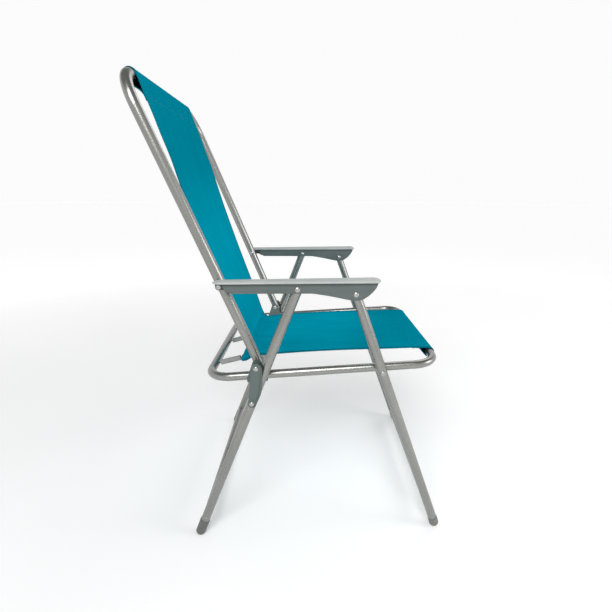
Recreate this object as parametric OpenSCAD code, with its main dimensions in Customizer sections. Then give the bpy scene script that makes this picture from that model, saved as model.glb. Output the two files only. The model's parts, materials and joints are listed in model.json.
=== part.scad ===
// Folding beach chair: tube frame, sling seat and back, six-bar fold.
// The sitter faces +X, the sitter's left is +Y, and the floor is Z = 0.

/* [Tubes] */
// Outside diameter of the back and leg tubes
tube_d = 22; // [20:0.5:23]
// Outside diameter of the seat tube and the crossbars
seat_tube_d = 20; // [18:0.5:21]
// Wall thickness of every tube
wall = 1.2; // [0.8:0.1:2]
// Half the distance between the sides of the back frame, centre to centre
frame_half = 240; // [220:1:260]
// How far the leg tubes stand outboard of the seat tube, centre to centre
leg_step = 25.5; // [25:0.1:27]

/* [Pivots, as X and Z] */
// Armrest on the back tube
arm_back = [-179, 649]; // [-400:0.5:800]
// Front leg on the armrest
arm_front = [105.5, 631]; // [-400:0.5:800]
// Rear leg on the armrest
arm_mid = [-17, 642.5]; // [-400:0.5:800]
// Seat on the back tube
seat_back = [-113, 465]; // [-400:0.5:800]
// Drop link on the rear leg
link_leg = [-127, 378]; // [-400:0.5:800]

/* [Back] */
// Lean of the back tube from upright, in degrees
back_lean = 20.9; // [18:0.1:24]
// Height of the centre line of the top tube
back_top = 1050; // [950:1:1100]
// Bend radius of the back tube
back_bend_r = 70; // [50:1:90]
// Width of the back sling
back_sling_w = 360; // [320:1:380]

/* [Seat] */
// Rise of the seat tube towards the front, in degrees
seat_rise = 3; // [0:0.1:4]
// X of the rear tube of the seat loop
seat_rear_x = -231; // [-240:1:-220]
// X of the front tube of the seat loop
seat_front_x = 306; // [290:1:310]
// Bend radius of the seat loop
seat_bend_r = 52; // [40:1:60]
// Width of the seat sling
seat_sling_w = 344; // [320:1:360]
// Thickness of the sling fabric and its sleeves
sling_t = 2; // [1.5:0.1:2.5]

/* [Armrests] */
// Height of the top face of the pads
pad_top = 665; // [660:0.5:668]
// Height of the underside of the pads
pad_base = 655.5; // [655.5:0.5:658]
// X of the rear and front tips of the pads
pad_ends = [-192, 158]; // [-200:1:170]
// Thickness of the channel walls
arm_wall = 2; // [1.6:0.1:2.2]

/* [Legs] */
// Height of the centre line of the front crossbar
front_crossbar_z = 36; // [36:1:60]
// Height of the centre line of the rear crossbar
rear_crossbar_z = 57; // [54:1:65]
// Height of the upper edge of the front foot caps
front_foot_top = 24; // [22:1:24]
// Height of the upper edge of the rear foot caps
rear_foot_top = 44; // [38:1:44]
// Outside diameter of the foot caps
foot_d = 24; // [23.5:0.5:25]

/* [Hidden] */

// Turning clearance between a rivet and its hole, on the diameter
turn_gap = 0.16;
rivet_d = 6;
hole_d = rivet_d + turn_gap;
head_d = 10.5;
head_h = 2.4;
smooth = 64;

tube_r = tube_d / 2;
seat_r = seat_tube_d / 2;
// The front leg follows the line of the back pivots, so the four pivots form a parallelogram
leg_step_xz = seat_back - arm_back;
seat_front = arm_front + leg_step_xz;

// Distances outboard of the frame centre plane
ear_in = tube_r + 0.2;
ear_t = 1.5;
ear_out = ear_in + ear_t;
leg_in = leg_step - tube_r;
leg_out = leg_step + tube_r;
inner_wall_y = leg_in - 0.5 - arm_wall;
outer_wall_y = leg_out + 0.5;
link_in = leg_out + 0.8;
link_t = 2;
link_out = link_in + link_t;
pad_in = tube_r + 0.5;
pad_out = 44;

// Back tube frame of reference: its centre line passes here, at the height of the seat pivot
back_foot = [-110.8, seat_back[1]];
back_end = 7;
plug_t = 2;
back_len = (back_top - back_foot[1]) / cos(back_lean);

// Seat frame of reference: the seat tube passes just above the front leg rivet
seat_ref = [seat_front[0], seat_front[1] + 1.5];
seat_l0 = (seat_rear_x - seat_ref[0]) / cos(seat_rise);
seat_l1 = (seat_front_x - seat_ref[0]) / cos(seat_rise);

sleeve_wall = sling_t + 0.4;

// Shape of the slack back sling: distance up the tube, and distance in front of it
back_sag = [[480, 4], [359, -9], [273, -18], [145, -24], [75, -30], [25, -27]];

// Crease between the slings, and the rod behind it
crease = [-129, 453];
crease_rod_at = [-158.5, 444.5];
crease_rod_d = 7;
crease_rod_len = seat_sling_w;
tensioner_y = [-156, 0, 156];
tensioner_d = 13;
tensioner_wire = 3;
// Clearance round a hook where it enters the rear tube, and how far it reaches past the tube's surface
hook_gap = 0.15;
hook_reach = 4;

link_w = 24;
link_rim = 3;
bracket_rear = 27;
bracket_front = 19;
bracket_tip_r = 11.5;
spacer_d = 12;
small_rivet_d = 3;
small_head_scale = 0.55;
stop_rivet_z = 279;
leg_top_over = 6;
leg_end_z = 16;
// Height of the middle of the round end of a foot cap, which gives it a flat base
foot_ball_z = 9.5;

function unit(v) = v / norm(v);
function along(p, q, t) = p + unit(q - p) * t;
function at_height(p, q, z) = p + (q - p) * (z - p[1]) / (q[1] - p[1]);
function turn(v, a) = [v[0] * cos(a) - v[1] * sin(a), v[0] * sin(a) + v[1] * cos(a)];
function arc(c, r, a0, a1, n) = [for (i = [0:n]) c + r * [cos(a0 + (a1 - a0) * i / n), sin(a0 + (a1 - a0) * i / n)]];
function seat_local(p) = turn(p - seat_ref, -seat_rise);
function seat_world(p) = seat_ref + turn(p, seat_rise);

// Outer radius of a sling sleeve round a tube, and the angle it wraps before it meets the sling again
function sleeve_r(r) = r + sleeve_wall;
function sleeve_turn(r) = 360 - acos((sleeve_r(r) - sling_t) / sleeve_r(r));
function back_world(h, off) = back_foot + turn([off, h], back_lean);

// Shift that centres the whole chair on X = 0
rear_most = back_world(back_len, 0)[0] - tube_r - sleeve_wall;
front_most = at_height(arm_front, seat_front, foot_ball_z)[0] + foot_d / 2;
centre_x = -(rear_most + front_most) / 2;
rear_crossbar_at = at_height(arm_mid, link_leg, rear_crossbar_z);

module place() translate([centre_x, 0, 0]) children();

// Mirrors a right-hand piece, which lies at -Y, to the left
module left() mirror([0, 1, 0]) children();

module both_sides() {
    children();
    left() children();
}

// Round bar between two XZ points at a given Y
module bar(p, q, y, d) {
    v = q - p;
    translate([p[0], y, p[1]]) rotate([0, atan2(v[0], v[1]), 0]) cylinder(h = norm(v), d = d, $fn = smooth);
}

// Round bar along Y at an XZ point
module y_bar(p, y0, y1, d) {
    translate([p[0], y0, p[1]]) rotate([-90, 0, 0]) cylinder(h = y1 - y0, d = d, $fn = smooth);
}

// XZ outline extruded along Y
module y_plate(y0, y1) translate([0, y1, 0]) rotate([90, 0, 0]) linear_extrude(height = y1 - y0) children();

module quarter_bend(r, d) rotate_extrude(angle = 90, $fn = 96) translate([r, 0]) circle(d = d, $fn = smooth);

// Rivet along Y at p, from inboard y0 to outboard y1 on the right side, with a domed head at each end
module rivet(p, inboard, outboard) {
    y_in = -frame_half - inboard;
    y_out = -frame_half - outboard;
    y_bar(p, y_out - 0.2, y_in + 0.2, rivet_d);
    translate([p[0], y_in, p[1]]) rotate([-90, 0, 0]) rivet_head();
    translate([p[0], y_out, p[1]]) rotate([90, 0, 0]) rivet_head();
}

module rivet_head() {
    rim = 0.5;
    dome_r = (pow(head_d / 2, 2) + pow(head_h - rim, 2)) / (2 * (head_h - rim));
    rotate_extrude($fn = smooth) {
        square([head_d / 2, rim]);
        intersection() {
            translate([0, head_h - dome_r]) circle(r = dome_r, $fn = 160);
            translate([0, rim - 0.1]) square([head_d / 2, head_h]);
        }
    }
}

// ---- back ----

module back_path(d) {
    for (s = [-1, 1]) {
        translate([0, s * frame_half, -back_end]) cylinder(h = back_len - back_bend_r + back_end, d = d, $fn = smooth);
        translate([0, s * (frame_half - back_bend_r), back_len - back_bend_r]) rotate([90, 0, s * 90])
            quarter_bend(back_bend_r, d);
    }
    translate([0, -frame_half + back_bend_r, back_len]) rotate([-90, 0, 0])
        cylinder(h = 2 * (frame_half - back_bend_r), d = d, $fn = smooth);
}

module in_back_frame() translate([back_foot[0], 0, back_foot[1]]) rotate([0, -back_lean, 0]) children();

module back_frame_tube() place() color("silver") difference() {
    in_back_frame() back_path(tube_d);
    in_back_frame() back_path(tube_d - 2 * wall);
    both_sides() {
        y_bar(arm_back, -frame_half - tube_d, -frame_half + tube_d, rivet_d);
        y_bar(seat_back, -frame_half - tube_d, -frame_half + tube_d, rivet_d);
    }
}

module back_tube_plugs() place() color("dimgray") in_back_frame() for (s = [-1, 1])
    translate([0, s * frame_half, -back_end - plug_t]) cylinder(h = plug_t, d = tube_d, $fn = smooth);

// Side profile of the back sling: round the top tube, then down to the crease with some slack
module back_sling() place() color("teal") {
    top = back_world(back_len, 0);
    sleeve = arc(top, sleeve_r(tube_r), back_lean, back_lean + sleeve_turn(tube_r), 40);
    front = [for (i = [len(back_sag) - 1:-1:0]) back_world(back_sag[i][0], back_sag[i][1])];
    rear = [for (p = back_sag) back_world(p[0], p[1] - sling_t)];
    low = crease + [0, 5];
    // The top tube starts to bend down inside the sleeve, so the sleeve is loose
    loose = 0.85;
    sling(back_sling_w, concat(sleeve, rear, [low - [sling_t, 0], low], front), top, tube_r + loose);
}

// Sling extruded from its side profile, open round the tube at p
module sling(w, outline, p, r) difference() {
    y_plate(-w / 2, w / 2) polygon(outline);
    y_bar(p, -w / 2 - 1, w / 2 + 1, 2 * r);
}

// ---- seat ----

module in_seat_frame() translate([seat_ref[0], 0, seat_ref[1]]) rotate([0, -seat_rise, 0]) children();

module seat_path(d) {
    len_x = seat_l1 - seat_l0 - 2 * seat_bend_r;
    len_y = 2 * (frame_half - seat_bend_r);
    for (s = [-1, 1])
        translate([seat_l0 + seat_bend_r, s * frame_half, 0]) rotate([0, 90, 0]) cylinder(h = len_x, d = d, $fn = smooth);
    for (x = [seat_l0, seat_l1])
        translate([x, -len_y / 2, 0]) rotate([-90, 0, 0]) cylinder(h = len_y, d = d, $fn = smooth);
    for (q = [0:3]) {
        corner_x = (q == 0 || q == 3) ? seat_l1 - seat_bend_r : seat_l0 + seat_bend_r;
        corner_y = (q < 2 ? 1 : -1) * len_y / 2;
        translate([corner_x, corner_y, 0]) rotate([0, 0, q * 90]) quarter_bend(seat_bend_r, d);
    }
}

module seat_frame_tube() place() color("silver") difference() {
    in_seat_frame() seat_path(seat_tube_d);
    in_seat_frame() seat_path(seat_tube_d - 2 * wall);
    both_sides() y_bar(seat_front, -frame_half - seat_tube_d, -frame_half + seat_tube_d, hole_d);
    for (y = tensioner_y) bar(tensioner_end(tensioner_start), seat_world([seat_l0, 0]), y, tensioner_wire + 2 * hook_gap);
}

// Side profile of the seat sling: from the crease to a sleeve round the front tube
module seat_sling() place() color("teal") {
    front = seat_world([seat_l1, 0]);
    sleeve = arc(front, sleeve_r(seat_r), 90 + seat_rise, 90 + seat_rise - sleeve_turn(seat_r), 40);
    low = crease + [3, -1];
    sling(seat_sling_w, concat(sleeve, [low - [0, sling_t], low]), front, seat_r + 0.1);
}

module crease_rod() place() color("silver")
    y_bar(crease_rod_at, -crease_rod_len / 2, crease_rod_len / 2, crease_rod_d);

// Ring of wire round a bar that runs along Y
module wire_ring(p, y, bar_d) translate([p[0], y, p[1]]) rotate([90, 0, 0])
    rotate_extrude($fn = 48) translate([bar_d / 2 + tensioner_wire / 2 + 0.1, 0]) circle(d = tensioner_wire, $fn = 24);

function tensioner_end(t) = along(crease_rod_at, seat_world([seat_l0, 0]), t);
tensioner_start = 9;
tensioner_len = 50;

module tensioner_sleeves() place() color("gray") for (y = tensioner_y) {
    a = tensioner_end(tensioner_start);
    b = tensioner_end(tensioner_start + tensioner_len);
    bar(a, b, y, tensioner_d);
}

// Wire from a ring round the crease rod, through the sleeve, into a hole in the rear tube
module tensioner_hooks() place() color("dimgray") for (y = tensioner_y) {
    gap = norm(seat_world([seat_l0, 0]) - crease_rod_at);
    wire_ring(crease_rod_at, y, crease_rod_d);
    bar(tensioner_end(crease_rod_d / 2 + tensioner_wire / 2), tensioner_end(tensioner_start), y, tensioner_wire);
    bar(tensioner_end(tensioner_start + tensioner_len), tensioner_end(gap - seat_r + hook_reach), y, tensioner_wire);
}

// Pressed saddle: two ears joined under the seat tube
module seat_bracket() {
    tip = seat_local(seat_back);
    base = -seat_r - ear_t;
    color("darkgray") difference() {
        in_seat_frame() union() {
            for (y = [-frame_half - ear_out, -frame_half + ear_in])
                y_plate(y, y + ear_t) ear_outline(tip, base);
            translate([tip[0] - bracket_rear, -frame_half - ear_out, base]) cube([bracket_rear + bracket_front, 2 * ear_out, ear_t]);
        }
        y_bar(seat_back, -frame_half - 2 * ear_out, -frame_half + 2 * ear_out, hole_d);
    }
}

module ear_outline(tip, base) {
    // Where the slanted edges leave the round tip
    a = 35;
    translate(tip) circle(r = bracket_tip_r, $fn = smooth);
    polygon([
        tip + bracket_tip_r * [-cos(a), sin(a)], [tip[0] - bracket_rear, base + seat_r],
        [tip[0] - bracket_rear, base], [tip[0] + bracket_front, base],
        [tip[0] + bracket_front, base + seat_r], tip + bracket_tip_r * [cos(a), sin(a)]
    ]);
}

module seat_bracket_right() place() seat_bracket();
module seat_bracket_left() place() left() seat_bracket();

// ---- legs ----

// Leg tube through two pivots p and q, drilled at both
module leg(p, q) {
    y = -frame_half - leg_step;
    top = along(p, q, -leg_top_over);
    low = at_height(p, q, leg_end_z);
    color("silver") difference() {
        bar(top, low, y, tube_d);
        bar(along(p, q, -2 * leg_top_over), at_height(p, q, 0), y, tube_d - 2 * wall);
        for (h = [p, q]) y_bar(h, y - tube_d, y + tube_d, rivet_d);
    }
}

module front_leg() leg(arm_front, seat_front);

module rear_leg() difference() {
    leg(arm_mid, link_leg);
    y_bar(rear_crossbar_at, -frame_half - leg_out - 1, -frame_half - leg_step, small_rivet_d);
}

module front_leg_right() place() front_leg();
module front_leg_left() place() left() front_leg();
module rear_leg_right() place() rear_leg();
module rear_leg_left() place() left() rear_leg();

// Crossbar between two leg tubes, with its ends shaped to them
module crossbar(p, q, z) {
    c = at_height(p, q, z);
    y = frame_half + leg_step;
    reach = y - tube_r + 3;
    color("silver") difference() {
        y_bar(c, -reach, reach, seat_tube_d);
        y_bar(c, -reach - 1, reach + 1, seat_tube_d - 2 * wall);
        for (s = [-1, 1]) bar(at_height(p, q, z + 60), at_height(p, q, z - 60), s * y, tube_d + 0.04);
    }
}

module front_crossbar() place() crossbar(arm_front, seat_front, front_crossbar_z);
module rear_crossbar() place() crossbar(arm_mid, link_leg, rear_crossbar_z);

// Cap over the end of a leg, round below with a flat face on the floor
module foot(p, q, top, shade) {
    y = -frame_half - leg_step;
    ball = at_height(p, q, foot_ball_z);
    lean = p - q;
    r = foot_d / 2;
    inner_r = tube_r + 0.02;
    brim = norm(at_height(p, q, top) - ball);
    stop = norm(at_height(p, q, leg_end_z) - ball);
    cap = concat(arc([0, 0], r, -90, 0, 12), [[r, brim], [inner_r, brim], [inner_r, stop], [0, stop]]);
    color(shade) difference() {
        translate([ball[0], y, ball[1]]) rotate([0, atan2(lean[0], lean[1]), 0]) rotate_extrude($fn = smooth) polygon(cap);
        translate([ball[0] - foot_d * 2, y - foot_d, -foot_d]) cube([foot_d * 4, foot_d * 2, foot_d]);
    }
}

module front_foot_right() place() foot(arm_front, seat_front, front_foot_top, "gray");
module front_foot_left() place() left() foot(arm_front, seat_front, front_foot_top, "gray");
module rear_foot_right() place() foot(arm_mid, link_leg, rear_foot_top, "dimgray");
module rear_foot_left() place() left() foot(arm_mid, link_leg, rear_foot_top, "dimgray");

// ---- armrests ----

// Lower edge of a channel wall: level, then a cheek that drops round the front pivot and rises to the tip
module wall_outline(rear_x) {
    level_z = 635.5;
    cheek = [
        [-92, 3.5], [-72, 0.5], [-51, -3.3], [-38, -6], [-28, -8.3], [-18, -10.4], [-8, -11.9], [2, -12.3],
        [12.5, -11], [19, -7.8], [26, -3], [32, 2.2], [36.5, 7], [40.5, 12], [44, 18]
    ];
    polygon(concat(
        [[rear_x, pad_base + 0.5], [rear_x, pad_base - 5], [rear_x + 14, level_z]],
        [for (v = cheek) arm_front + v],
        [[arm_front[0] + 46.3, pad_base + 0.5]]
    ));
}

// Plan of the pad: a bar with round corners
module pad_plan(inset) {
    corner = 13;
    x0 = pad_ends[0] + inset;
    x1 = pad_ends[1] - inset;
    y0 = -frame_half - pad_out + inset;
    y1 = -frame_half - pad_in - inset;
    r = corner - inset;
    for (x = [x0 + r, x1 - r]) for (y = [y0 + r, y1 - r]) translate([x, y]) circle(r = r, $fn = smooth);
    translate([x0 + r, y0]) square([x1 - x0 - 2 * r, y1 - y0]);
    translate([x0, y0 + r]) square([x1 - x0, y1 - y0 - 2 * r]);
}

module armrest() {
    lip = 2.5;
    rear_outer = arm_back[0] + 8;
    rear_inner = arm_back[0] + 20;
    y = -frame_half;
    color("slategray") difference() {
        union() {
            translate([0, 0, pad_base]) linear_extrude(height = pad_top - pad_base - lip) pad_plan(0);
            translate([0, 0, pad_top - lip - 0.01]) linear_extrude(height = lip + 0.01) pad_plan(lip);
            y_plate(y - outer_wall_y - arm_wall, y - outer_wall_y) wall_outline(rear_outer);
            y_plate(y - inner_wall_y - arm_wall, y - inner_wall_y) wall_outline(rear_inner);
            translate([arm_front[0] + 38, y - outer_wall_y - 1, pad_base - 7])
                cube([arm_wall, outer_wall_y - inner_wall_y, 8]);
        }
        for (p = [arm_mid, arm_front]) y_bar(p, y - pad_out - 5, y, hole_d);
    }
}

module armrest_right() place() armrest();
module armrest_left() place() left() armrest();

module arm_hinge_block() {
    y_out = -frame_half - leg_out - 0.3;
    y_in = -frame_half - tube_r - 0.3;
    back = 7.4;
    front = 18;
    color([0.08, 0.08, 0.08]) difference() {
        union() {
            y_bar(arm_back, y_out, y_in, 2 * back - 2);
            translate([arm_back[0] - back + 1, y_out, arm_back[1]])
                cube([2 * back - 2, y_in - y_out, pad_base - arm_back[1]]);
            translate([arm_back[0], y_out, pad_base - 12]) cube([front, leg_out - leg_in, 12]);
        }
        y_bar(arm_back, y_out - 1, y_in + 1, hole_d);
    }
}

module arm_hinge_block_right() place() arm_hinge_block();
module arm_hinge_block_left() place() left() arm_hinge_block();

// ---- drop links ----

module link() {
    y = -frame_half - link_out;
    v = unit(link_leg - seat_back);
    front_side = [-v[1], v[0]];
    color("darkgray") difference() {
        union() {
            y_bar(seat_back, y, y + link_t, link_w);
            y_bar(link_leg, y, y + link_t, link_w);
            y_plate(y, y + link_t) link_body(front_side, link_w / 2, -link_w / 2);
            y_plate(y - link_rim, y) link_body(front_side, link_w / 2, link_w / 2 - 2);
        }
        y_bar(seat_back, y - 5, y + 5, hole_d);
        y_bar(link_leg, y - 5, y + 5, rivet_d);
    }
}

module link_body(side, a, b) polygon([
    seat_back + side * a, link_leg + side * a, link_leg + side * b, seat_back + side * b
]);

// Rivet of the open pivot: it ends at the inner face of the link
module link_pin() color("silver") {
    y = -frame_half - link_out;
    y_bar(link_leg, y, y + link_t, rivet_d);
    translate([link_leg[0], y, link_leg[1]]) rotate([90, 0, 0]) rivet_head();
}

module link_right() place() link();
module link_left() place() left() link();
module link_pin_right() place() link_pin();
module link_pin_left() place() left() link_pin();

module link_spacers() place() color("darkgray") both_sides() difference() {
    y_bar(seat_back, -frame_half - link_in + 0.15, -frame_half - ear_out - 0.15, spacer_d);
    y_bar(seat_back, -frame_half - link_in - 1, -frame_half, rivet_d);
}

// ---- fasteners ----

module arm_back_rivets() place() color("silver") both_sides() rivet(arm_back, -tube_r - 0.05, leg_out + 0.45);
module seat_back_rivets() place() color("silver") both_sides() rivet(seat_back, -ear_out - 0.15, link_out + 0.15);
module arm_mid_rivets() place() color("silver") both_sides() rivet(arm_mid, inner_wall_y - 0.15, outer_wall_y + arm_wall + 0.15);
module arm_front_rivets() place() color("silver") both_sides() rivet(arm_front, inner_wall_y - 0.15, outer_wall_y + arm_wall + 0.15);
module seat_front_rivets() place() color("silver") both_sides() rivet(seat_front, -seat_r - 0.15, leg_out);

module seat_front_spacers() place() color("dimgray") both_sides() difference() {
    y_bar(seat_front, -frame_half - leg_in, -frame_half - seat_r - 0.15, spacer_d);
    y_bar(seat_front, -frame_half - leg_in - 1, -frame_half, rivet_d);
}

// Small rivet that holds an end of the rear crossbar
module rear_crossbar_rivets() place() color("silver") both_sides() {
    y = -frame_half - leg_out;
    y_bar(rear_crossbar_at, y - 0.2, y + tube_r, small_rivet_d);
    translate([rear_crossbar_at[0], y, rear_crossbar_at[1]]) rotate([90, 0, 0]) scale(small_head_scale) rivet_head();
}

module front_leg_stop_rivets() place() color("silver") both_sides() {
    c = at_height(arm_front, seat_front, stop_rivet_z);
    translate([c[0], -frame_half - leg_in, c[1]]) rotate([-90, 0, 0]) rivet_head();
}

back_frame_tube();
back_tube_plugs();
back_sling();
seat_frame_tube();
seat_sling();
crease_rod();
tensioner_sleeves();
tensioner_hooks();
seat_bracket_right();
seat_bracket_left();
front_leg_right();
front_leg_left();
front_crossbar();
front_foot_right();
front_foot_left();
rear_leg_right();
rear_leg_left();
rear_crossbar();
rear_foot_right();
rear_foot_left();
armrest_right();
armrest_left();
arm_hinge_block_right();
arm_hinge_block_left();
link_right();
link_left();
link_pin_right();
link_pin_left();
link_spacers();
arm_back_rivets();
seat_back_rivets();
arm_mid_rivets();
rear_crossbar_rivets();
arm_front_rivets();
seat_front_rivets();
seat_front_spacers();
front_leg_stop_rivets();
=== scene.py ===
import json
import math

import bpy
from mathutils import Matrix, Vector


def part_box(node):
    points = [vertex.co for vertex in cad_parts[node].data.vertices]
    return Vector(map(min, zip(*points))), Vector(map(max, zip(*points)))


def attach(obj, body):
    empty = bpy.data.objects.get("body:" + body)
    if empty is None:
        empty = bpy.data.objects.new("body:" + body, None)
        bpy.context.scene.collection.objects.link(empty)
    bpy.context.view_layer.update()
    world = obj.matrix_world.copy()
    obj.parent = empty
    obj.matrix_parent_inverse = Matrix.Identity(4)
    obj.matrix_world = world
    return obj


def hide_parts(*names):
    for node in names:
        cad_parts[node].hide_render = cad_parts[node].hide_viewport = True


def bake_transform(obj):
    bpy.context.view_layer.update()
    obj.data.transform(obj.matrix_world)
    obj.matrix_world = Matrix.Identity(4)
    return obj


# Looks of the folding beach chair: a slack sling of mesh fabric, moulded armrests, pressed links, satin tubes

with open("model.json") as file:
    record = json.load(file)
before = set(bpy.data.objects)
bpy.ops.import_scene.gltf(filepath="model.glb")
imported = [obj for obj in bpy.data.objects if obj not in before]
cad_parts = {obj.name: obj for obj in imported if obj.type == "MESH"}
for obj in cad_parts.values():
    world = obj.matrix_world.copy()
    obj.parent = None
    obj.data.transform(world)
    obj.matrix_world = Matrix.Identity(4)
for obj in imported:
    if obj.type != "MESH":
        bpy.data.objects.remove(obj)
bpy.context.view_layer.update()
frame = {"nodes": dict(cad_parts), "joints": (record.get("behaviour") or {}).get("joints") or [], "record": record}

# ---- places, in metres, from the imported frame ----

MM = 0.001
BODIES = ("right", "left")
JOINTS = {j["name"]: j for j in frame["joints"]}
NODE_SLOT = {s["node"]: s["material_slot"] for s in frame["record"]["subparts"]}

SEAT_PIVOT = Vector(JOINTS["seat_fold"]["pos_m"])
ARM_BACK = Vector(JOINTS["armrest_right_fold"]["pos_m"])
ARM_FRONT = Vector(JOINTS["front_legs_fold"]["pos_m"])
LEAN = math.radians(20.9)
TUBE_R = 11 * MM
SEAT_R = 10 * MM
# The back tube's centre line passes just in front of the seat pivot
BACK_FOOT_X = SEAT_PIVOT.x + 2.2 * MM
TOP_UP = (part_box("back_frame_tube")[1].z - TUBE_R - SEAT_PIVOT.z) / math.cos(LEAN)
FRAME_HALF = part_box("back_frame_tube")[1].y - TUBE_R
FRONT_TUBE_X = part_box("seat_frame_tube")[1].x - SEAT_R
FRONT_TUBE_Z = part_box("seat_frame_tube")[1].z - SEAT_R
ROD = (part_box("crease_rod")[0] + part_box("crease_rod")[1]) / 2
# Height of an armrest's top above the top of its side walls
PAD_TOP = 9.5 * MM


def back_point(up, front):
    """A point up mm along the back tube and front mm in front of its centre line, as (x, z)."""
    u, f = up * MM, front * MM
    x = BACK_FOOT_X - u * math.sin(LEAN) + f * math.cos(LEAN)
    z = SEAT_PIVOT.z + u * math.cos(LEAN) + f * math.sin(LEAN)
    return x, z


def smooth_step(t):
    t = min(max(t, 0.0), 1.0)
    return t * t * (3 - 2 * t)


# ---- mesh building ----


def new_object(name, verts, faces, smooth=True):
    mesh = bpy.data.meshes.new(name)
    mesh.from_pydata([tuple(v) for v in verts], [], faces)
    mesh.update()
    if smooth:
        mesh.polygons.foreach_set("use_smooth", [True] * len(mesh.polygons))
    obj = bpy.data.objects.new(name, mesh)
    bpy.context.scene.collection.objects.link(obj)
    return obj


def float_attribute(obj, name, values):
    layer = obj.data.attributes.new(name, "FLOAT", "POINT")
    layer.data.foreach_set("value", values)


def apply_modifiers(obj):
    graph = bpy.context.evaluated_depsgraph_get()
    mesh = bpy.data.meshes.new_from_object(obj.evaluated_get(graph))
    obj.modifiers.clear()
    obj.data = mesh
    return obj


def ring_faces(rows, count):
    """Faces between rows of count points each, where each row is a loop."""
    faces = []
    for i in range(rows - 1):
        a, b = i * count, (i + 1) * count
        for j in range(count):
            k = (j + 1) % count
            faces.append((a + j, a + k, b + k, b + j))
    return faces


def sweep(name, rings):
    """Closed tube through the rings of points, with flat ends."""
    count = len(rings[0])
    verts = [p for ring in rings for p in ring]
    faces = ring_faces(len(rings), count)
    faces.append(tuple(reversed(range(count))))
    faces.append(tuple(range(len(verts) - count, len(verts))))
    return new_object(name, verts, faces)


def spline(points, step):
    """Catmull-Rom curve through points of any dimension, resampled at even steps, and its length."""
    pieces = 12
    dense = []
    for i in range(len(points) - 1):
        p0 = points[max(i - 1, 0)]
        p1, p2 = points[i], points[i + 1]
        p3 = points[min(i + 2, len(points) - 1)]
        for k in range(pieces):
            dense.append([catmull(a, b, c, d, k / pieces) for a, b, c, d in zip(p0, p1, p2, p3)])
    dense.append(list(points[-1]))
    lengths = [0.0]
    for a, b in zip(dense, dense[1:]):
        lengths.append(lengths[-1] + math.hypot(b[0] - a[0], b[1] - a[1]))
    count = max(2, round(lengths[-1] / step))
    out, k = [], 0
    for i in range(count + 1):
        want = lengths[-1] * i / count
        while k < len(lengths) - 2 and lengths[k + 1] < want:
            k += 1
        span = lengths[k + 1] - lengths[k]
        t = (want - lengths[k]) / span if span > 0 else 0.0
        out.append([a + (b - a) * t for a, b in zip(dense[k], dense[k + 1])])
    return out, lengths[-1]


def catmull(a, b, c, d, t):
    square, cube = 2 * a - 5 * b + 4 * c - d, 3 * b - a - 3 * c + d
    return 0.5 * (2 * b + (c - a) * t + square * t * t + cube * t ** 3)


def arc_points(cx, cz, radius, start, end, count):
    """Points round a centre, with angles in degrees from the first axis towards the second."""
    out = []
    for i in range(count + 1):
        a = math.radians(start + (end - start) * i / count)
        out.append((cx + radius * math.cos(a), cz + radius * math.sin(a)))
    return out


# ---- materials ----


class Paint:
    """A node material with short calls for the nodes that the finishes share."""

    def __init__(self, name):
        self.material = bpy.data.materials.new(name)
        self.material.use_nodes = True
        self.tree = self.material.node_tree
        self.shader = self.tree.nodes["Principled BSDF"]

    def node(self, kind, inputs=None, **settings):
        n = self.tree.nodes.new(kind)
        for key, value in settings.items():
            setattr(n, key, value)
        for key, value in (inputs or {}).items():
            self.put(n, key, value)
        return n

    def put(self, n, key, value):
        if isinstance(value, bpy.types.NodeSocket):
            self.tree.links.new(value, n.inputs[key])
        else:
            n.inputs[key].default_value = value

    def set(self, **values):
        for key, value in values.items():
            self.put(self.shader, key.replace("_", " "), value)

    def place(self):
        return self.node("ShaderNodeTexCoord").outputs["Object"]

    def attribute(self, name):
        return self.node("ShaderNodeAttribute", attribute_name=name).outputs["Fac"]

    def noise(self, vector, scale, detail=3.0, roughness=0.55):
        values = {"Vector": vector, "Scale": scale, "Detail": detail, "Roughness": roughness}
        return self.node("ShaderNodeTexNoise", values).outputs["Fac"]

    def ramp(self, factor, low, high, a, b):
        """Maps factor from low..high to a..b."""
        values = {"Value": factor, "From Min": low, "From Max": high, "To Min": a, "To Max": b}
        return self.node("ShaderNodeMapRange", values).outputs["Result"]

    def maths(self, operation, a, b=0.0):
        n = self.node("ShaderNodeMath", operation=operation)
        self.put(n, 0, a)
        self.put(n, 1, b)
        return n.outputs[0]

    def mix(self, factor, a, b):
        n = self.node("ShaderNodeMix", data_type="RGBA")
        self.put(n, "Factor", factor)
        for socket, value in ((n.inputs[6], a), (n.inputs[7], b)):
            if isinstance(value, bpy.types.NodeSocket):
                self.tree.links.new(value, socket)
            else:
                socket.default_value = (*value, 1.0)
        return n.outputs[2]

    def bump(self, height, strength, distance):
        values = {"Height": height, "Strength": strength, "Distance": distance}
        self.put(self.shader, "Normal", self.node("ShaderNodeBump", values).outputs["Normal"])

    def stretched(self, scale):
        return self.node("ShaderNodeMapping", {"Vector": self.place(), "Scale": scale}).outputs["Vector"]


def coated_metal(name, dark, light, metallic, roughness, grain):
    """Satin coating: broad cloudiness, fine grain in the gloss and small scuffs."""
    p = Paint(name)
    cloud = p.noise(p.place(), 9.0, 4.0)
    fine = p.noise(p.place(), grain, 2.0)
    scuff = p.noise(p.stretched((40.0, 40.0, 160.0)), 3.0, 6.0, 0.7)
    tone = p.maths("ADD", p.ramp(cloud, 0.35, 0.65, 0.2, 0.7), p.ramp(scuff, 0.62, 0.8, 0.0, 0.3))
    p.set(Base_Color=p.mix(tone, dark, light), Metallic=metallic)
    p.set(Roughness=p.ramp(p.maths("ADD", fine, scuff), 0.7, 1.3, roughness - 0.03, roughness + 0.04))
    p.bump(fine, 0.02, 0.0003)
    return p.material


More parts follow.
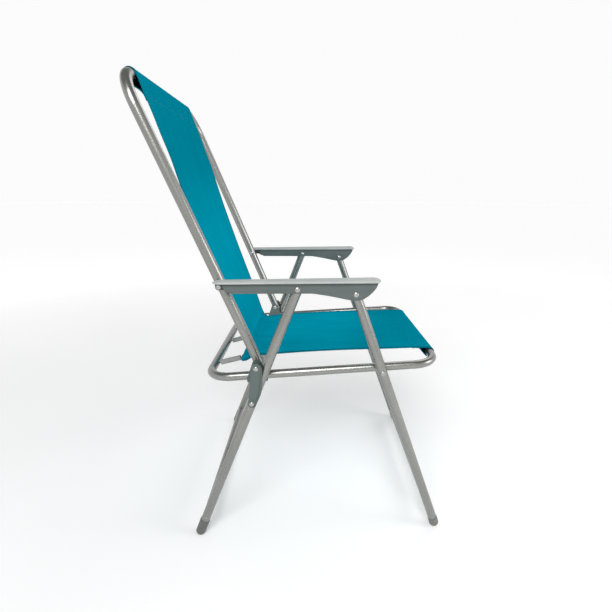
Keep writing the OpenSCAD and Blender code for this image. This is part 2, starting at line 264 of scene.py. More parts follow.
def moulded(name, dark, light, roughness, grain, depth):
    """Moulded plastic: fine leather-like grain, faint flow marks, worn patches a little smoother."""
    p = Paint(name)
    cells = p.node("ShaderNodeTexVoronoi", {"Vector": p.place(), "Scale": grain}, feature="DISTANCE_TO_EDGE")
    flow = p.noise(p.stretched((6.0, 22.0, 22.0)), 2.0, 4.0)
    fine = p.noise(p.place(), grain * 1.7, 2.0)
    colour = p.mix(p.ramp(p.maths("ADD", flow, fine), 0.8, 1.2, 0.0, 1.0), dark, light)
    p.set(Base_Color=colour)
    p.set(Roughness=p.ramp(flow, 0.3, 0.7, roughness - 0.06, roughness + 0.08))
    p.bump(p.maths("ADD", p.ramp(cells.outputs["Distance"], 0.0, 0.25, 0.0, 1.0), fine), depth, 0.0003)
    return p, colour


def moulded_plastic(*finish):
    return moulded(*finish)[0].material


def wall_with_painted_shade(*finish):
    """Moulded plastic with painted shade: a soft dark band at the top of the wall, in the shadow below the pad's
    overhang.
    """
    p, colour = moulded(*finish)
    height = p.node("ShaderNodeSeparateXYZ", {0: p.place()}).outputs["Z"]
    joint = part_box("armrest_right")[1].z - PAD_TOP
    # Painted shade: the wall turns darker over its top 7 mm, under the pad
    dark = p.ramp(height, joint - 7 * MM, joint - 1 * MM, 0.0, 0.6)
    p.set(Base_Color=p.mix(dark, colour, (0.02, 0.025, 0.024)))
    return p.material


THREAD_PITCH = 1.6 * MM


def woven(name, dark, light, inside, shade_colour):
    """Mesh fabric: a plain weave with long streaks along the warp, mixed towards a painted shade colour where the
    shade attribute says.
    """
    p = Paint(name)
    along, across, shade = p.attribute("along"), p.attribute("across"), p.attribute("shade")
    warp = wave_of(p, across, THREAD_PITCH)
    weft = wave_of(p, along, THREAD_PITCH)
    crossing = p.maths("MULTIPLY", warp, weft)
    streak = p.noise(scaled(p, along, 7.0, across, 260.0), 1.0, 3.0)
    broad = p.noise(scaled(p, along, 5.0, across, 26.0), 1.0, 4.0)
    tone = p.maths("ADD", p.ramp(streak, 0.3, 0.7, 0.0, 0.4), p.ramp(broad, 0.3, 0.7, 0.0, 0.5))
    tone = p.maths("ADD", tone, p.maths("MULTIPLY", crossing, 0.12))
    cloth = p.mix(tone, dark, light)
    # Painted shade: the cloth mixes towards shade_colour by the shade attribute, scaled by inside
    p.set(Base_Color=p.mix(p.maths("MULTIPLY", shade, inside), cloth, shade_colour))
    p.set(Roughness=p.ramp(streak, 0.3, 0.7, 0.74, 0.9))
    p.shader.inputs["Specular IOR Level"].default_value = 0.0
    p.bump(p.maths("ADD", crossing, p.maths("MULTIPLY", streak, 0.8)), 0.35, 0.0003)
    return p.material


def scaled(p, along, along_scale, across, across_scale):
    """A place on the cloth, stretched differently along and across it."""
    place = {"X": p.maths("MULTIPLY", along, along_scale), "Y": p.maths("MULTIPLY", across, across_scale)}
    return p.node("ShaderNodeCombineXYZ", place).outputs[0]


def wave_of(p, position, pitch):
    """0 to 1 and back over each pitch."""
    turn = p.maths("MULTIPLY", position, 2 * math.pi / pitch)
    return p.ramp(p.maths("SINE", turn), -1.0, 1.0, 0.0, 1.0)


def spun_rubber(name, dark, light):
    """Ribbed grey sleeve with dull patches."""
    p = Paint(name)
    cloud = p.noise(p.place(), 60.0, 4.0)
    fine = p.noise(p.place(), 900.0, 2.0)
    p.set(Base_Color=p.mix(p.ramp(cloud, 0.3, 0.7, 0.0, 1.0), dark, light))
    p.set(Roughness=p.ramp(cloud, 0.3, 0.7, 0.5, 0.68))
    p.bump(fine, 0.2, 0.0003)
    return p.material


TEAL = ((0.0, 0.255, 0.365), (0.0, 0.335, 0.465))

# Metal: name, dark and light colour, metallic, roughness, grain
METALS = {
    "tube": ("satin_tube", (0.250, 0.252, 0.238), (0.300, 0.302, 0.287), 0.92, 0.27, 700.0),
    "plate": ("pressed_plate", (0.075, 0.102, 0.096), (0.104, 0.134, 0.127), 0.25, 0.42, 500.0),
    "rivet": ("bright_rivet", (0.36, 0.36, 0.35), (0.46, 0.46, 0.45), 1.0, 0.24, 900.0),
    "hook_wire": ("dark_wire", (0.05, 0.05, 0.05), (0.12, 0.12, 0.12), 0.8, 0.40, 900.0),
}

# Plastic: name, dark and light colour, roughness, grain, depth of the grain
PLASTICS = {
    "arm_plastic": ("arm_grain", (0.32, 0.345, 0.335), (0.40, 0.425, 0.41), 0.50, 900.0, 0.25),
    "dark_plastic": ("black_grain", (0.012, 0.013, 0.013), (0.03, 0.032, 0.032), 0.5, 900.0, 0.2),
    "front_cap": ("front_cap_grain", (0.125, 0.127, 0.114), (0.172, 0.174, 0.157), 0.5, 800.0, 0.2),
    "rear_cap": ("rear_cap_grain", (0.075, 0.08, 0.075), (0.12, 0.125, 0.12), 0.5, 800.0, 0.2),
}
# Walls: the arm plastic made darker than the pad, painted shade on the walls beside the lit pad top
ARM_WALL = ("arm_wall_grain_painted_shade", (0.070, 0.088, 0.084), (0.092, 0.113, 0.108), 0.52, 900.0, 0.25)


def make_materials():
    made = {slot: coated_metal(*finish) for slot, finish in METALS.items()}
    made.update({slot: moulded_plastic(*finish) for slot, finish in PLASTICS.items()})
    made["arm_wall"] = wall_with_painted_shade(*ARM_WALL)
    made["sleeve_grey"] = spun_rubber("grey_sleeve", (0.20, 0.205, 0.20), (0.28, 0.285, 0.275))
    # The last colours are painted shade colours; the inner face's is darker, for the shade inside the sleeves and
    # under the sling
    made["sling_fabric"] = woven("sling_outer", *TEAL, 1.0, (0.0, 0.10, 0.145))
    made["sling_inner"] = woven("sling_inner", *TEAL, 1.0, (0.0, 0.045, 0.085))
    made["hem"] = woven("sling_hem", (0.0, 0.16, 0.225), (0.0, 0.22, 0.30), 0.8, (0.0, 0.08, 0.12))
    made["thread"] = spun_rubber("stitch_thread", (0.0, 0.17, 0.24), (0.0, 0.24, 0.33))
    return made


# ---- sling ----

CLOTH = 1.2 * MM
SAG = 4.5 * MM
SLEEVE_GAP = 1.1 * MM
HALF_TOP, HALF_LOW, HALF_CREASE, HALF_SEAT = 182 * MM, 179 * MM, 168 * MM, 172 * MM
# Length of the profile that lies inside each sleeve or round its tube
BACK_SLEEVE, FRONT_SLEEVE = 85 * MM, 82 * MM
# Crease between back and seat, in mm from the seat pivot
CREASE = ((-31.1, 0), (-28.6, -6.5), (-25.6, -10.4), (-20.6, -11.6), (-8.6, -11.1))
SEAT_START = (9.4, -9.7)
# Seat: share of the way to the front tube, and mm above the straight line
SEAT_ARCH = (
    (0, 0), (0.068, 1.5), (0.159, 2.8), (0.256, 3.6), (0.391, 4.0),
    (0.537, 3.6), (0.684, 2.4), (0.806, 1.6), (0.884, 1.2), (0.947, 0.6),
)


def sling_profile():
    """Side profile of the sling with its half width: top sleeve, back, crease, seat and front sleeve."""
    points = []

    def back(up, front, half):
        points.append((*back_point(up, front), half))

    top_mm = TOP_UP / MM
    loop_r = (TUBE_R + SLEEVE_GAP) / MM
    for up, front in ((-52, 7.9), (-44, 8.1), (-38, 7.2), (-30, 3.4), (-20, -4), (-12.5, -9)):
        back(top_mm + up, front, HALF_TOP)
    for i in range(9):
        a = math.radians(205 - i * 26)
        back(top_mm + loop_r * math.sin(a), loop_r * math.cos(a), HALF_TOP)
    for up, front in ((-15, 11.6), (-26, 10.8), (-38, 9.9), (-52, 9.3), (-80, 8.0)):
        back(top_mm + up, front, HALF_TOP)
    for up, front in ((515, 5.5), (465, 2.5), (420, -3), (360, -9.5), (300, -14.5), (225, -20), (130, -25.5)):
        back(up, front, HALF_TOP + (HALF_LOW - HALF_TOP) * (515 - up) / 385)
    back(70, -29, HALF_LOW - 3 * MM)
    back(30, -31.5, HALF_CREASE + 3 * MM)
    for dx, dz in CREASE:
        points.append((SEAT_PIVOT.x + dx * MM, SEAT_PIVOT.z + dz * MM, HALF_CREASE))
    x0, z0 = SEAT_PIVOT.x + SEAT_START[0] * MM, SEAT_PIVOT.z + SEAT_START[1] * MM
    for share, rise in SEAT_ARCH:
        x = x0 + share * (FRONT_TUBE_X - x0)
        z = z0 + share * (FRONT_TUBE_Z + 13.3 * MM - z0) + rise * MM
        points.append((x, z, HALF_SEAT))
    loop = SEAT_R + 2 * MM
    for x, z in arc_points(FRONT_TUBE_X, FRONT_TUBE_Z, loop, 84, -128, 9):
        points.append((x, z, HALF_SEAT))
    tail = ((-14.5, -2.5), (-20, 4.5), (-25, 10), (-31, 12.1), (-44, 11.8))
    for dx, dz in tail:
        points.append((FRONT_TUBE_X + dx * MM, FRONT_TUBE_Z + dz * MM, HALF_SEAT))
    return points


def back_free(z):
    """How free the back is to sag at a height: 0 at the top tube and the crease, 1 in the middle."""
    if z > SEAT_PIVOT.z:
        up = (z - SEAT_PIVOT.z) / (TOP_UP * math.cos(LEAN))
        return smooth_step(up / 0.35) * smooth_step((0.9 - up) / 0.35)
    return 0.0


def seat_free(x, z):
    """How free the seat is to sag: 0 at the crease, the front tube and the lower layer, 1 in the middle."""
    along = (x - ROD.x) / (FRONT_TUBE_X - ROD.x)
    on_seat = z > SEAT_PIVOT.z - 13 * MM and x > ROD.x + 15 * MM
    return smooth_step((along - 0.06) / 0.3) * smooth_step((0.9 - along) / 0.3) if on_seat else 0.0


def relief(s, x, z, across, half, layer):
    """How far the cloth stands off its profile, along its outward normal."""
    if not layer:
        return 0.0
    t = across / half
    free = back_free(z) if x < ROD.x + 15 * MM else 0.9 * seat_free(x, z)
    sag = -(1 - t * t) * SAG * free
    edge = 1 - abs(t) ** 8
    tension = 0.16 * MM * math.sin(across * 173 + 2.2 * math.sin(s * 4)) * math.sin(s * 9 + across * 7)
    return sag + gather(x, z, across) * 0.6 * MM * edge + tension * edge


def gather(x, z, across):
    """Small gathers that run forward from the crease, from about -1.6 to 1.6."""
    if z > SEAT_PIVOT.z:
        return 0.0
    near = math.exp(-(((x - ROD.x - 46 * MM) / (22 * MM)) ** 2))
    return near * (math.sin(across * 330 + 1.3 * math.sin(across * 61)) + 0.6 * math.sin(across * 560 + 2))


def shade_at(x, z, layer):
    """How much painted shade the cloth gets, 0 to 1: 1 inside the sleeves, and more towards the top, the front and
    the crease.
    """
    if not layer:
        return 1.0
    # Painted shade in the crease, and towards the top of the back and the front of the seat
    crease = math.exp(-(((x - ROD.x - 16 * MM) / (10 * MM)) ** 2)) if z < SEAT_PIVOT.z + 10 * MM else 0.0
    top = (z - SEAT_PIVOT.z) / TOP_UP
    front = (x - SEAT_PIVOT.x) / (FRONT_TUBE_X - SEAT_PIVOT.x)
    if top > 0.06:
        return 0.3 * crease + 0.16 + 0.56 * smooth_step((top - 0.30) / 0.6)
    return 0.3 * crease + 0.16 * smooth_step(top / 0.06) + 0.44 * smooth_step((front - 0.35) / 0.6)


def profile_frames():
    """Even samples of the profile: place, tangent, normal, half width, arc length, outer layer or not."""
    samples, length = spline(sling_profile(), 4 * MM)
    rows = []
    for i, (x, z, half) in enumerate(samples):
        a, b = samples[max(i - 1, 0)], samples[min(i + 1, len(samples) - 1)]
        tangent = Vector((b[0] - a[0], 0, b[1] - a[1])).normalized()
        s = length * i / (len(samples) - 1)
        layer = BACK_SLEEVE < s < length - FRONT_SLEEVE
        rows.append((Vector((x, 0, z)), tangent, tangent.cross(Vector((0, 1, 0))), half, s, layer))
    return rows, length


def surface_point(row, across, lift=0.0):
    centre, _, normal, half, s, layer = row
    off = relief(s, centre.x, centre.z, across, half, layer) + lift
    return centre + Vector((0, across, 0)) + normal * off


def make_sling(rows, length):
    """The sling as one closed sheet: an outer face, an inner face and a thin edge all round."""
    columns = 96
    verts, along, across_values, shade = [], [], [], []
    for side in (1, -1):
        for row in rows:
            for j in range(columns + 1):
                across = row[3] * (2 * j / columns - 1)
                verts.append(surface_point(row, across, side * CLOTH / 2))
                along.append(row[4])
                across_values.append(across)
                # Painted shade from shade_at, lighter on the crests and darker in the troughs of the gathers
                dark = shade_at(row[0].x, row[0].z, row[5]) - 0.16 * gather(row[0].x, row[0].z, across)
                in_sleeve = row[4] < BACK_SLEEVE + 40 * MM or row[4] > length - FRONT_SLEEVE - 18 * MM
                # Painted shade on the inner face: full inside the sleeves, weaker on the rest of the underside
                inner_painted_shade = 1.0 if in_sleeve else 0.45 * dark
                shade.append(min(dark, 0.6) if side == 1 else inner_painted_shade)
    n, wide = len(rows), columns + 1
    inner_start = n * wide
    outer, inner = [], []
    for i in range(n - 1):
        for j in range(columns):
            a = i * wide + j
            outer.append((a, a + wide, a + wide + 1, a + 1))
            inner.append(tuple(inner_start + k for k in (a, a + 1, a + wide + 1, a + wide)))
    edge = edge_faces(n, wide, inner_start)
    obj = new_object("sling", verts, outer + inner + edge)
    indices = [0] * len(outer) + [1] * len(inner) + [0] * len(edge)
    obj.data.polygons.foreach_set("material_index", indices)
    for name, values in (("along", along), ("across", across_values), ("shade", shade)):
        float_attribute(obj, name, values)
    return obj


def edge_faces(n, wide, inner):
    """Faces that close the rim between the outer grid and the inner grid."""
    faces = []
    for i in range(n - 1):
        a, b = i * wide, (i + 1) * wide
        faces.append((a, inner + a, inner + b, b))
        faces.append((a + wide - 1, b + wide - 1, inner + b + wide - 1, inner + a + wide - 1))
    last = (n - 1) * wide
    for j in range(wide - 1):
        faces.append((j, j + 1, inner + j + 1, inner + j))
        faces.append((last + j, inner + last + j, inner + last + j + 1, last + j + 1))
    return faces


HEM_WIDE = 10 * MM
# Section of a hem: share of its width from the edge, and height above the cloth's middle in mm
HEM_SECTION = (
    (1.0, 0.62), (0.9, 0.86), (0.5, 0.95), (0.1, 0.93), (-0.06, 0.55),
    (-0.06, -0.55), (0.1, -0.93), (0.5, -0.95), (0.9, -0.86), (1.0, -0.62),
)


def make_hem(rows, side):
    """Folded hem along one side edge of the sling."""
    rings, along, across_values, shade = [], [], [], []
    for row in rows:
        ring = []
        for share, height in HEM_SECTION:
            across = side * (row[3] - share * HEM_WIDE)
            ring.append(surface_point(row, across, height * MM))
            along.append(row[4])
            across_values.append(across + height * MM)
            # Painted shade: darker at both rolled edges of the hem than across its middle
            shade.append(0.25 + 0.5 * abs(share - 0.5))
        rings.append(ring if side < 0 else ring[::-1])
    name = "sling_hem_right" if side < 0 else "sling_hem_left"
    obj = sweep(name, rings)
    if side > 0:
        count = len(HEM_SECTION)
        for values in (along, across_values, shade):
            for i in range(0, len(values), count):
                values[i:i + count] = values[i:i + count][::-1]
    for key, values in (("along", along), ("across", across_values), ("shade", shade)):
        float_attribute(obj, key, values)
    return obj


def add_stitch(verts, faces, a, b, lift, thick):
    """One stitch: a short spindle from a to b, proud of the cloth along lift."""
    d = (b - a).normalized()
    wide = d.cross(lift).normalized()
    base = len(verts)
    verts.append(a)
    for t in (0.25, 0.75):
        centre = a.lerp(b, t)
        for u, v in ((1, 0), (0, 1), (-1, 0), (0, -1)):
            verts.append(centre + wide * (u * thick) + lift * (v * thick))
    verts.append(b)
    for j in range(4):
        k = (j + 1) % 4
        faces.append((base, base + 1 + k, base + 1 + j))
        faces.append((base + 1 + j, base + 1 + k, base + 5 + k, base + 5 + j))
        faces.append((base + 5 + j, base + 5 + k, base + 9))


def stitch_rows(rows):
    """Stitches along both hems and across the seams of the sleeves, on both faces of the cloth."""
    verts, faces = [], []
    for side in (-1, 1):
        for face in (-1, 1):
            for i in range(2, len(rows) - 3):
                a = surface_point(rows[i], side * (rows[i][3] - 0.82 * HEM_WIDE), face * 1.05 * MM)
                b = surface_point(rows[i + 1], side * (rows[i + 1][3] - 0.82 * HEM_WIDE), face * 1.05 * MM)
                add_stitch(verts, faces, a, a.lerp(b, 0.68), rows[i][2] * face, 0.24 * MM)
    for seam in seam_rows(rows):
        row = rows[seam]
        count = int(2 * row[3] / (3.8 * MM))
        for face, lift in ((1, 0.72 * MM), (-1, -2.0 * MM)):
            for j in range(3, count - 3):
                across = -row[3] + 2 * row[3] * j / count
                a = surface_point(row, across, lift)
                b = surface_point(row, across + 2.6 * MM, lift)
                add_stitch(verts, faces, a, b, row[2] * face, 0.24 * MM)
    return new_object("sling_stitching", verts, faces)


def nearest(rows, distance, below):
    """The row of the outer layer, below a height, with the smallest distance."""
    choice = [i for i, row in enumerate(rows) if row[5] and row[0].z < below]
    return min(choice, key=lambda i: distance(rows[i][0]))


def seam_rows(rows):
    """Rows on the outer layer that lie over the sewn ends of the two sleeves."""
    back_ups, seat_xs = (46 * MM, 40 * MM), (-40 * MM, -34 * MM)
    found = []
    for up in back_ups:
        z = back_point((TOP_UP - up) / MM, 9.5)[1]
        found.append(nearest(rows, lambda place: abs(place.z - z), math.inf))
    for dx in seat_xs:
        x = FRONT_TUBE_X + dx
        found.append(nearest(rows, lambda place: abs(place.x - x), SEAT_PIVOT.z + 5 * MM))
    return found


POCKET_HALF = 175 * MM
# Upper and lower face of the pocket between the crease and the rod, in mm from the seat pivot
POCKET_TOP = ((-22, -10.4), (-27, -8.4), (-33, -8.8), (-38.5, -12.2))
POCKET_LOW = ((-37, -23.6), (-31, -20.4), (-26, -16.6), (-21.5, -13.6))


def pocket_profile(shrink):
    """Side profile of the pocket behind the crease: back to the rod, round it and forward again."""
    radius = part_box("crease_rod")[1].z - ROD.z + 1.3 * MM - shrink
    top = [(SEAT_PIVOT.x + x * MM, SEAT_PIVOT.z + z * MM - shrink) for x, z in POCKET_TOP]
    low = [(SEAT_PIVOT.x + x * MM, SEAT_PIVOT.z + z * MM + shrink) for x, z in POCKET_LOW]
    return top + arc_points(ROD.x, ROD.z, radius, 118, 292, 8) + low


def make_pocket():
    """Closed pocket of fabric round the rod, with rounded ends, sewn on behind the crease."""
    count = 64
    stations = [-1 + 2 * i / 48 for i in range(49)]
    ends = ((POCKET_HALF, 1.6 * MM), (POCKET_HALF - 0.8 * MM, 0.6 * MM), (POCKET_HALF - 2.2 * MM, 0.0))
    middle = [(t * (POCKET_HALF - 4 * MM), 0.0) for t in stations]
    places = [(-y, shrink) for y, shrink in ends] + middle + [(y, shrink) for y, shrink in reversed(ends)]
    rings, along, across_values, shade = [], [], [], []
    for across, shrink in places:
        samples = pocket_points(pocket_profile(shrink), count)
        ring = []
        for i, (x, z) in enumerate(samples):
            share = i / (count - 1)
            ripple = 0.3 * MM * math.sin(across * 210 + 4 * share) * math.sin(math.pi * share)
            ring.append(Vector((x, across, z + ripple)))
            along.append(share * 0.08)
            across_values.append(across)
            # Painted shade: darker round the rod and on the pocket's lower face, and darker again at its closed
            # ends
            shade.append(0.25 + 0.5 * smooth_step((share - 0.45) / 0.4) + 0.3 * (shrink > 0))
        rings.append(ring)
    obj = sweep("crease_pocket", rings)
    for name, values in (("along", along), ("across", across_values), ("shade", shade)):
        float_attribute(obj, name, values)
    return obj


def pocket_points(profile, count):
    """Exactly count points at even steps along the profile."""
    samples, _ = spline(profile, 0.5 * MM)
    last = len(samples) - 1
    return [samples[round(last * i / (count - 1))] for i in range(count)]


def build_sling(materials):
    rows, length = profile_frames()
    sling = make_sling(rows, length)
    hems = [make_hem(rows, side) for side in (-1, 1)]
    stitching = stitch_rows(rows)
    pocket = make_pocket()
    sling.data.materials.append(materials["sling_fabric"])
    sling.data.materials.append(materials["sling_inner"])
    pocket.data.materials.append(materials["sling_fabric"])
    for hem in hems:
        hem.data.materials.append(materials["hem"])
    stitching.data.materials.append(materials["thread"])
    for obj in (sling, *hems, stitching):
        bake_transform(obj)
    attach(pocket, "seat")
    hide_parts("back_sling", "seat_sling")


# ---- armrests ----


def rounded_plan(x0, x1, y0, y1, radius, per_corner=9):
    """Plan of a bar with round corners, counter-clockwise seen from above."""
    out = []
    left, right, near, far = x0 + radius, x1 - radius, y0 + radius, y1 - radius
    for cx, cy, start in ((right, near, -90), (right, far, 0), (left, far, 90), (left, near, 180)):
        out += arc_points(cx, cy, radius, start, start + 90, per_corner)
    return out


# Section of the pad's edge: height above its underside and inset, both in mm
PAD_EDGE = (
    (0.0, 3.4), (0.25, 1.9), (0.9, 0.8), (2.0, 0.15), (3.2, 0.0), (4.3, 0.3), (5.4, 1.05),
    (6.5, 2.3), (7.5, 4.0), (8.3, 6.0), (8.9, 8.3), (9.3, 10.8), (9.6, 13.0), (9.7, 14.6),
)


def make_pad(name, low, high, base_z):
    """Bull-nosed pad with a crowned top, thinner towards its rear tip."""
    rings = []
    for height, inset in PAD_EDGE:
        i = inset * MM
        ring = []
        for x, y in rounded_plan(low.x + i, high.x - i, low.y + i, high.y - i, max(15 * MM - i, 1.2 * MM)):
            thin = 1 - 0.38 * (1 - smooth_step((x - low.x) / 0.075))
            ring.append(Vector((x, y, base_z + height * MM * thin)))
        rings.append(ring)
    return sweep(name, rings)


# Lower edge of a wall, in mm from the front pivot
CHEEK = (
    (-92, 3.5), (-72, 0.5), (-51, -3.3), (-38, -6), (-28, -8.3), (-18, -10.4), (-8, -11.9), (2, -12.3),
    (12.5, -11), (19, -7.8), (26, -3), (32, 2.2), (36.5, 7), (40.5, 12), (44, 18), (46.0, 24.2),
)


def wall_outline(rear_x, base_z):
    level = ARM_FRONT.z + 4.5 * MM
    lower = [(rear_x, base_z + 0.5 * MM), (rear_x, base_z - 5 * MM)]
    lower += [(rear_x + 6 * MM, level + 6 * MM), (rear_x + 14 * MM, level)]
    cheek, _ = spline([(ARM_FRONT.x + x * MM, ARM_FRONT.z + z * MM) for x, z in CHEEK], 4 * MM)
    return lower + [tuple(p) for p in cheek] + [(ARM_FRONT.x + 46.3 * MM, base_z + 0.5 * MM)]


def make_plate(name, outline, y0, y1, bevel):
    """XZ outline with thickness along Y and rounded edges."""
    n = len(outline)
    verts = [(x, y0, z) for x, z in outline] + [(x, y1, z) for x, z in outline]
    faces = [tuple(range(n)), tuple(reversed(range(n, 2 * n)))]
    for i in range(n):
        j = (i + 1) % n
        faces.append((i, i + n, j + n, j))
    obj = new_object(name, verts, faces, smooth=False)
    round_edges(obj, bevel)
    return obj


def round_edges(obj, width, segments=3, angle=40):
    mod = obj.modifiers.new("edges", "BEVEL")
    mod.width = width
    mod.segments = segments
    mod.limit_method = "ANGLE"
    mod.angle_limit = math.radians(angle)
    mod.harden_normals = False
    apply_modifiers(obj)
    shade_by_angle(obj, 35)


def shade_by_angle(obj, degrees):
    """Smooth shading except across edges sharper than the angle."""
    mesh = obj.data
    mesh.polygons.foreach_set("use_smooth", [True] * len(mesh.polygons))
    mesh.set_sharp_from_angle(angle=math.radians(degrees))


def join(name, parts):
    """Joins (object, material index) pairs into one object."""
    verts, faces, numbers = [], [], []
    for part, number in parts:
        base = len(verts)
        verts += [v.co.copy() for v in part.data.vertices]
        for poly in part.data.polygons:
            faces.append(tuple(base + k for k in poly.vertices))
            numbers.append(number)
        bpy.data.objects.remove(part)
    obj = new_object(name, verts, faces)
    obj.data.polygons.foreach_set("material_index", numbers)
    shade_by_angle(obj, 35)
    return obj


def build_armrest(side, materials):
    node = "armrest_" + side
    low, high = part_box(node)
    base_z = high.z - PAD_TOP
    sign = -1 if side == "right" else 1
    pad = make_pad("pad_" + side, low, high, base_z)
    outer_y = sign * (FRAME_HALF + 39 * MM)
    inner_y = sign * (FRAME_HALF + 14 * MM)
    span = 2 * MM * -sign
    walls = []
    for name, y, rear in (("wall_a", outer_y, 8 * MM), ("wall_b", inner_y, 20 * MM)):
        outline = wall_outline(ARM_BACK.x + rear, base_z)
        walls.append(make_plate(name, outline, *sorted((y, y + span)), 0.6 * MM))
    end_x, end_t = ARM_FRONT.x + 38 * MM, 2 * MM
    top, bottom = base_z + 0.5 * MM, base_z - 6.5 * MM
    outline = [(end_x, top), (end_x, bottom), (end_x + end_t, bottom), (end_x + end_t, top)]
    end = make_plate("wall_c", outline, *sorted((outer_y + span / 2, inner_y + span / 2)), 0.4 * MM)
    obj = join("armrest_shell_" + side, [(pad, 0), (walls[0], 1), (walls[1], 1), (end, 1)])
    obj.data.materials.append(materials["arm_plastic"])
    obj.data.materials.append(materials["arm_wall"])
    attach(obj, "armrest_" + side)
    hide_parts(node)


# ---- drop links ----

# Edges of a link in mm: distance from the upper pivot towards the lower one, and distance in front of it
LINK_FRONT = (
    (-11.5, 3), (-9, 7.5), (-4, 11), (4, 12.4), (20, 13), (40, 13.6),
    (56, 13.2), (70, 11.4), (82, 9.4), (91, 7.4), (96, 3.5),
)
LINK_REAR = (
    (97, -1.5), (94.5, -5.8), (89, -8.2), (70, -8.8), (40, -9.4),
    (10, -10.4), (0, -10.9), (-6, -9.4), (-10.4, -5.2), (-12, -1),
)
# Section of the rolled flange: share of its width, and mm above the plate
FLANGE = (
    (0.0, 0.3), (0.1, -1.6), (0.9, -2.7), (2.0, -2.6),
    (0.75, -1.2), (1.0, 0.9), (0.85, 1.7), (0.3, 1.5),
)


def link_plane(side):
    """Maps (along, front) in mm on a link to (x, z)."""
    low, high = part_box("link_pin_" + side)
    top = Vector((SEAT_PIVOT.x, SEAT_PIVOT.z))
    pin = Vector(((low.x + high.x) / 2, (low.z + high.z) / 2))
    down = (pin - top).normalized()
    front = Vector((-down.y, down.x))
    return lambda a, b: tuple(top + down * (a * MM) + front * (b * MM))


def build_link(side, materials):
    """Pressed link: a flat tapered plate with a rolled flange down its front edge."""
    sign = -1 if side == "right" else 1
    at = link_plane(side)
    low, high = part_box("link_" + side)
    inner = high.y if side == "right" else low.y
    outer = inner + sign * 2 * MM
    outline, _ = spline([*LINK_FRONT, *LINK_REAR, LINK_FRONT[0]], 2.5)
    plate = make_plate("link_plate", [at(a, b) for a, b in outline[:-1]], *sorted((inner, outer)), 0.45 * MM)
    path, _ = spline(LINK_FRONT, 2.5)
    rings = []
    for i, (a, b) in enumerate(path):
        before, after = path[max(i - 1, 0)], path[min(i + 1, len(path) - 1)]
        tangent = Vector((after[0] - before[0], after[1] - before[1])).normalized()
        normal = Vector((-tangent.y, tangent.x))
        share = i / (len(path) - 1)
        wide = 1.6 + 3.6 * smooth_step(share / 0.55) * smooth_step((1 - share) / 0.4)
        ring = []
        for out, rise in FLANGE:
            reach = out * wide if out <= 1 else wide * 0.45
            x, z = at(a + normal.x * reach, b + normal.y * reach)
            ring.append(Vector((x, outer - sign * rise * MM * min(1.0, wide / 3), z)))
        rings.append(ring if side == "right" else ring[::-1])
    flange = sweep("link_flange", rings)
    obj = join("link_shell_" + side, [(plate, 0), (flange, 0)])
    obj.data.materials.append(materials["plate"])
    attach(obj, "link_" + side)
    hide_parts("link_" + side)


# ---- floor, light and camera ----


def build_floor():
    """Wide pale floor, which glows a little more with distance so that it meets the pale backdrop."""
    count, radius = 96, 60.0
    rim = arc_points(0, 0, radius, 0, 360 - 360 / count, count - 1)
    floor = new_object("floor", [(x, y, -0.4 * MM) for x, y in rim], [tuple(range(count))], smooth=False)
    p = Paint("pale_floor")
    cloud = p.ramp(p.noise(p.place(), 1.5), 0.3, 0.7, 0.0, 1.0)
    p.set(Base_Color=p.mix(cloud, (0.93, 0.93, 0.93), (0.96, 0.96, 0.96)))
    p.set(Roughness=p.ramp(p.noise(p.place(), 40.0), 0.3, 0.7, 0.75, 0.85))
    reach = p.node("ShaderNodeVectorMath", {0: p.place()}, operation="LENGTH").outputs["Value"]
    p.set(Emission_Strength=p.ramp(reach, 0.7, 3.5, 0.08, 0.50))
    p.shader.inputs["Emission Color"].default_value = (1.0, 1.0, 1.0, 1.0)
    floor.data.materials.append(p.material)


def area_light(name, place, target, size, power):
    data = bpy.data.lights.new(name, "AREA")
    data.shape = "DISK"
    data.size = size
    data.energy = power
    obj = bpy.data.objects.new(name, data)
    obj.location = place
    obj.rotation_euler = (Vector(target) - Vector(place)).to_track_quat("-Z", "Y").to_euler()
    bpy.context.scene.collection.objects.link(obj)


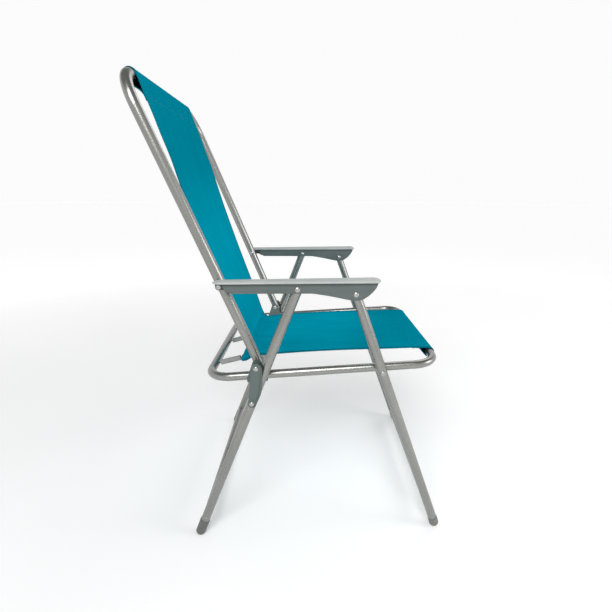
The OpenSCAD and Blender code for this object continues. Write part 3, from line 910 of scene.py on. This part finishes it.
def build_light():
    """Pale round the horizon and dim overhead, so that tubes show bright and dark bands, with soft lamps."""
    world = bpy.data.worlds.new("studio")
    bpy.context.scene.world = world
    world.use_nodes = True
    tree = world.node_tree
    direction = tree.nodes.new("ShaderNodeTexCoord").outputs["Generated"]
    split = tree.nodes.new("ShaderNodeSeparateXYZ")
    tree.links.new(direction, split.inputs[0])
    height = tree.nodes.new("ShaderNodeMapRange")
    height.interpolation_type = "SMOOTHSTEP"
    for key, value in (("From Min", 0.40), ("From Max", 0.70), ("To Min", 0.97), ("To Max", 0.25)):
        height.inputs[key].default_value = value
    tree.links.new(split.outputs["Z"], height.inputs["Value"])
    tree.links.new(height.outputs["Result"], tree.nodes["Background"].inputs["Strength"])
    tree.nodes["Background"].inputs["Color"].default_value = (1.0, 1.0, 1.0, 1.0)
    area_light("key", (-0.3, -1.9, 2.3), (0, 0, 0.5), 1.4, 42)
    area_light("rim", (0.9, 1.5, 2.4), (0, 0, 0.5), 1.4, 11)
    area_light("fill", (2.2, -0.7, 1.2), (0, 0, 0.6), 1.2, 15)


def build_camera():
    """Camera at the viewing angle of the photograph, a little above the armrests on the sitter's right."""
    data = bpy.data.cameras.new("camera")
    obj = bpy.data.objects.new("camera", data)
    bpy.context.scene.collection.objects.link(obj)
    yaw, pitch, roll = math.radians(3.020), math.radians(18.785), math.radians(0.249)
    forward = Vector((math.sin(yaw) * math.cos(pitch), math.cos(yaw) * math.cos(pitch), -math.sin(pitch)))
    right = Vector((math.cos(yaw), -math.sin(yaw), 0))
    axes = Matrix((right, right.cross(forward), -forward)).transposed().to_4x4()
    turn = axes @ Matrix.Rotation(roll, 4, "Z")
    turn.translation = Vector((0.01496, -1.08284, 0.82969))
    obj.matrix_world = turn
    data.sensor_width = 36
    data.lens = 23.277
    data.shift_x, data.shift_y = -0.04172, 0.03809
    bpy.context.scene.camera = obj


# ---- the whole scene ----


def paint_nodes(materials):
    for name, obj in frame["nodes"].items():
        obj.data.materials.clear()
        obj.data.materials.append(materials[NODE_SLOT[name]])


bpy.context.scene.view_settings.view_transform = "Standard"
made = make_materials()
paint_nodes(made)
build_sling(made)
for chair_side in BODIES:
    build_armrest(chair_side, made)
    build_link(chair_side, made)
build_floor()
build_light()
build_camera()
